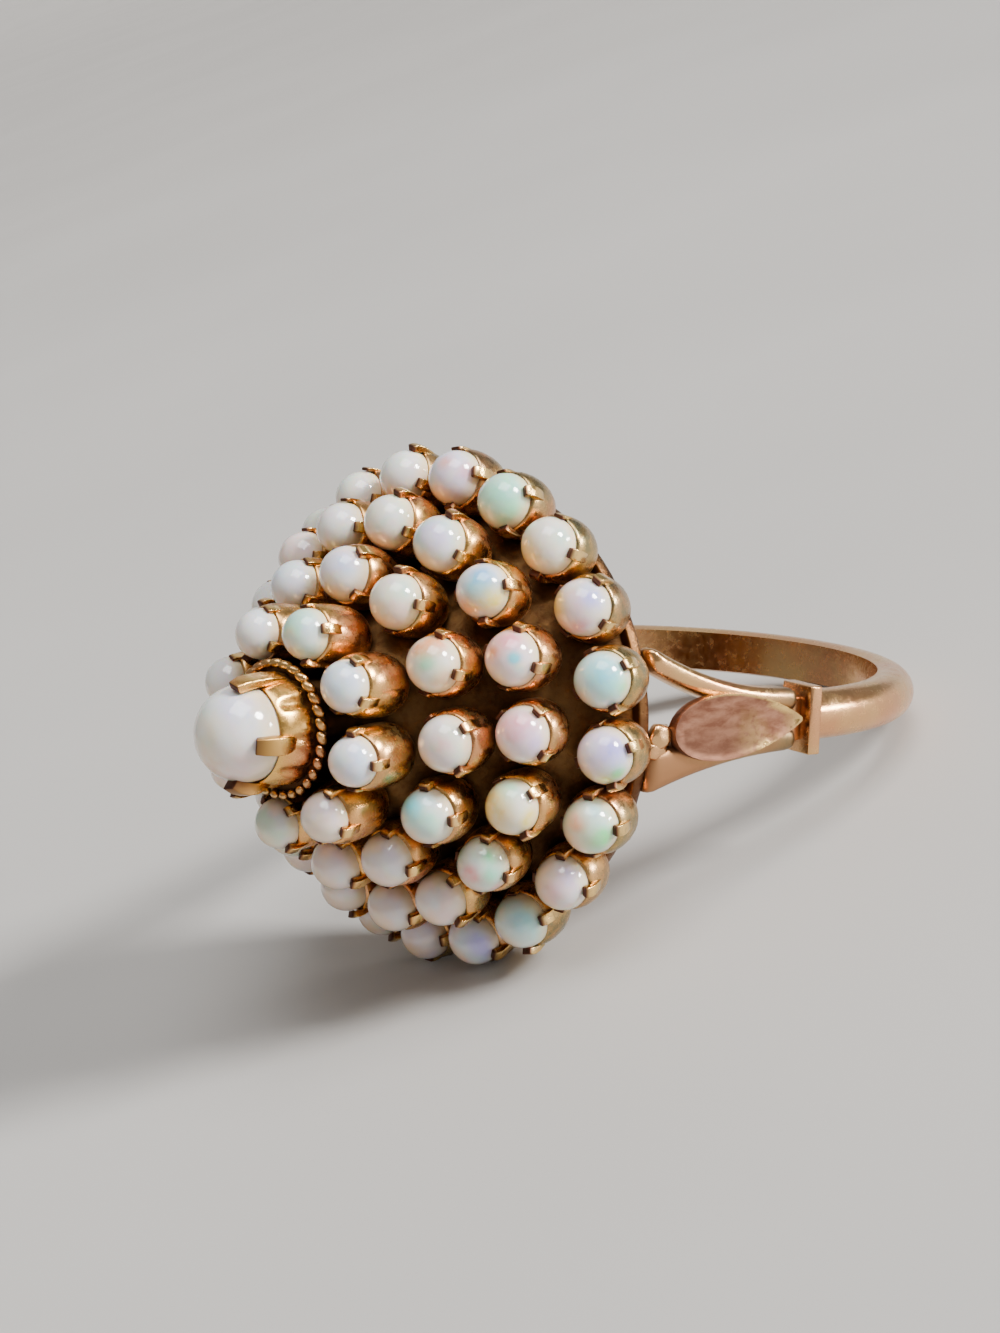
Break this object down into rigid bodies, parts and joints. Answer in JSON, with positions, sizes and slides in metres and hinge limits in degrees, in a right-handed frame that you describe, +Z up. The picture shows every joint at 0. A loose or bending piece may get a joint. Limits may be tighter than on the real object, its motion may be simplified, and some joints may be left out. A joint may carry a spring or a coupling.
{
  "type": "cluster ring",
  "caption": "Tall tiered cluster ring: a dome of claw-set round opals in gold cups on a slim hoop with split, leaf-centred shoulders, lying on its side.",
  "frame": {"origin": "middle of the finger hole", "axes": "+Z up from the surface that the ring lies on; the dome points along -X, tipped up about 22 degrees; +X towards the back of the hoop, +Y across both shoulders"},
  "size_m": [0.0302, 0.02, 0.0175],
  "materials": {
    "gold": "worn rose gold, polished on the edges and tarnished in the hollows",
    "opal": "polished white opal cabochon with play of colour"
  },
  "bodies": {
    "root": {"shank": "gold", "base": "gold", "collets_upper": "gold", "collets_second": "gold", "collets_third": "gold", "collets_rim": "gold", "rope_ring": "gold", "top_opal": "opal", "opals_upper": "opal", "opals_second": "opal", "opals_third": "opal", "opals_rim": "opal"}
  },
  "joints": []
}
